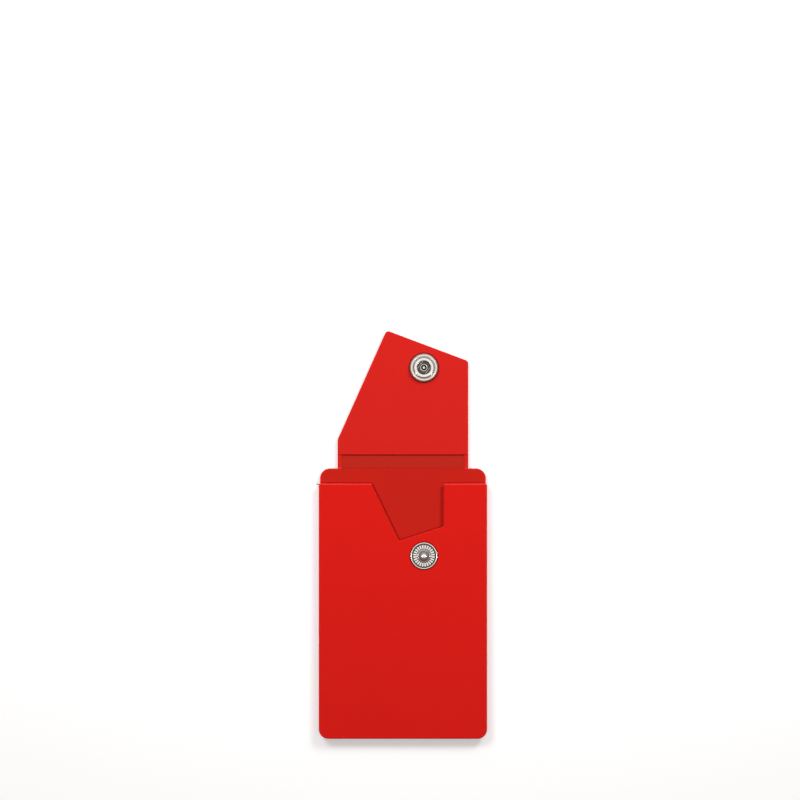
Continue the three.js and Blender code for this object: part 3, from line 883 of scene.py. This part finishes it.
def in_stud_hollow(centre, normal):
    """Whether a face is in the groove inside the rim, between the ribs or under the ball, where shade is
    painted on the nickel.
    """
    distance = round_about(centre, STUD_Y)
    level = centre.z - STUD_BASE
    in_rim_groove = RIB_OUTER < distance < 4.31 and normal.z > -0.5
    between_ribs = 2.3 < distance < 3.9 and level < 0.6 and normal.z > -0.5
    under_ball = 1.2 < distance < 1.75 and level < 1.7 and normal.z < 0.9
    return in_rim_groove or between_ribs or under_ball


tint(socket, shaded_nickel, inside_socket)
tint(cap, shaded_nickel, inside_post)
tint(stud, shaded_nickel, in_stud_hollow)
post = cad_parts["stud_post"]
for place in post.material_slots:
    place.material = worn_nickel


# Floor, light and camera

def pale_floor():
    bpy.ops.object.select_all(action="DESELECT")
    bpy.ops.mesh.primitive_plane_add(size=4, location=(0, 0, 0))
    floor = bpy.context.object
    floor.name = "floor"
    material = bpy.data.materials.new("white_floor")
    material.use_nodes = True
    nodes, links = material.node_tree.nodes, material.node_tree.links
    shader = nodes["Principled BSDF"]
    shader.inputs["Base Color"].default_value = (0.85, 0.85, 0.85, 1)
    shader.inputs["Roughness"].default_value = 0.9
    shader.inputs["Specular IOR Level"].default_value = 0.1
    light_path = nodes.new("ShaderNodeLightPath")
    lift = nodes.new("ShaderNodeMath")
    lift.operation = "MULTIPLY"
    links.new(light_path.outputs["Is Camera Ray"], lift.inputs[0])
    lift.inputs[1].default_value = 0.3
    shader.inputs["Emission Color"].default_value = (1, 1, 1, 1)
    links.new(lift.outputs[0], shader.inputs["Emission Strength"])
    floor.data.materials.append(material)


def set_ramp(ramp, stops):
    """Grey stops [position, brightness] of a colour ramp."""
    elements = ramp.color_ramp.elements
    while len(elements) < len(stops):
        elements.new(0.5)
    for element, (position, brightness) in zip(elements, stops):
        element.position = position
        element.color = (brightness, brightness, brightness, 1)


def studio_world():
    """Bright overhead, dark towards the horizon, warm and dim to the front, for the metal to mirror."""
    world = bpy.data.worlds.new("studio")
    bpy.context.scene.world = world
    world.use_nodes = True
    nodes, links = world.node_tree.nodes, world.node_tree.links
    background = nodes["Background"]
    direction = nodes.new("ShaderNodeTexCoord")
    split = nodes.new("ShaderNodeSeparateXYZ")
    links.new(direction.outputs["Generated"], split.inputs[0])
    height = nodes.new("ShaderNodeValToRGB")
    links.new(split.outputs["Z"], height.inputs["Fac"])
    set_ramp(height, ((0.1, 0.14), (0.5, 0.24), (0.8, 0.42), (0.94, 0.5), (0.975, 1.6)))
    sideways = nodes.new("ShaderNodeMapRange")
    sideways.inputs["From Min"].default_value = -1.0
    links.new(split.outputs["Y"], sideways.inputs["Value"])
    side = nodes.new("ShaderNodeMix")
    side.data_type = "RGBA"
    side.inputs[6].default_value = (0.3, 0.23, 0.18, 1)
    side.inputs[7].default_value = (1.0, 1.02, 1.05, 1)
    links.new(sideways.outputs["Result"], side.inputs["Factor"])
    sky = nodes.new("ShaderNodeMix")
    sky.data_type = "RGBA"
    sky.blend_type = "MULTIPLY"
    sky.inputs["Factor"].default_value = 1.0
    links.new(height.outputs["Color"], sky.inputs[6])
    links.new(side.outputs[2], sky.inputs[7])
    light_path = nodes.new("ShaderNodeLightPath")
    mix = nodes.new("ShaderNodeMix")
    mix.data_type = "RGBA"
    links.new(light_path.outputs["Is Camera Ray"], mix.inputs["Factor"])
    links.new(sky.outputs[2], mix.inputs[6])
    mix.inputs[7].default_value = (1, 1, 1, 1)
    links.new(mix.outputs[2], background.inputs["Color"])
    background.inputs["Strength"].default_value = 1.0


def soft_lamp(name, x, y, z, size, power, mirrored=True):
    """A square lamp that points at the holder; the metal mirrors it or only shows its light."""
    bpy.ops.object.light_add(type="AREA", location=(x, y, z))
    lamp = bpy.context.object
    lamp.name = name
    lamp.data.size = size
    lamp.data.energy = power
    lamp.visible_glossy = mirrored
    middle = (Vector(cad_box[0]) + Vector(cad_box[1])) / 2
    lamp.rotation_euler = (middle - lamp.location).to_track_quat("-Z", "Y").to_euler()


def straight_camera():
    """Looks straight down, at the photograph's scale."""
    lens = 100
    sensor_width = 36
    view_width = PICTURE_WIDTH / PIXELS_PER_MM / 1000
    height = FRONT_FACE / 1000 + view_width * lens / sensor_width
    bpy.ops.object.camera_add(location=(*PICTURE_MIDDLE, height))
    camera = bpy.context.object
    camera.name = "camera"
    camera.data.lens = lens
    bpy.context.scene.camera = camera


pale_floor()
studio_world()
soft_lamp("right_lamp", 0.22, 0.31, 0.33, 0.15, 1.05, mirrored=False)
soft_lamp("left_lamp", -0.2, 0.26, 0.36, 0.15, 0.84, mirrored=False)
soft_lamp("upper_lamp", 0, 0.55, 0.4, 0.6, 0.5, mirrored=False)
soft_lamp("right_glint", 0.17, -0.03, 0.5, 0.05, 0.12)
soft_lamp("left_glint", -0.15, -0.03, 0.5, 0.05, 0.1)
straight_camera()
bpy.context.scene.view_settings.view_transform = "Standard"
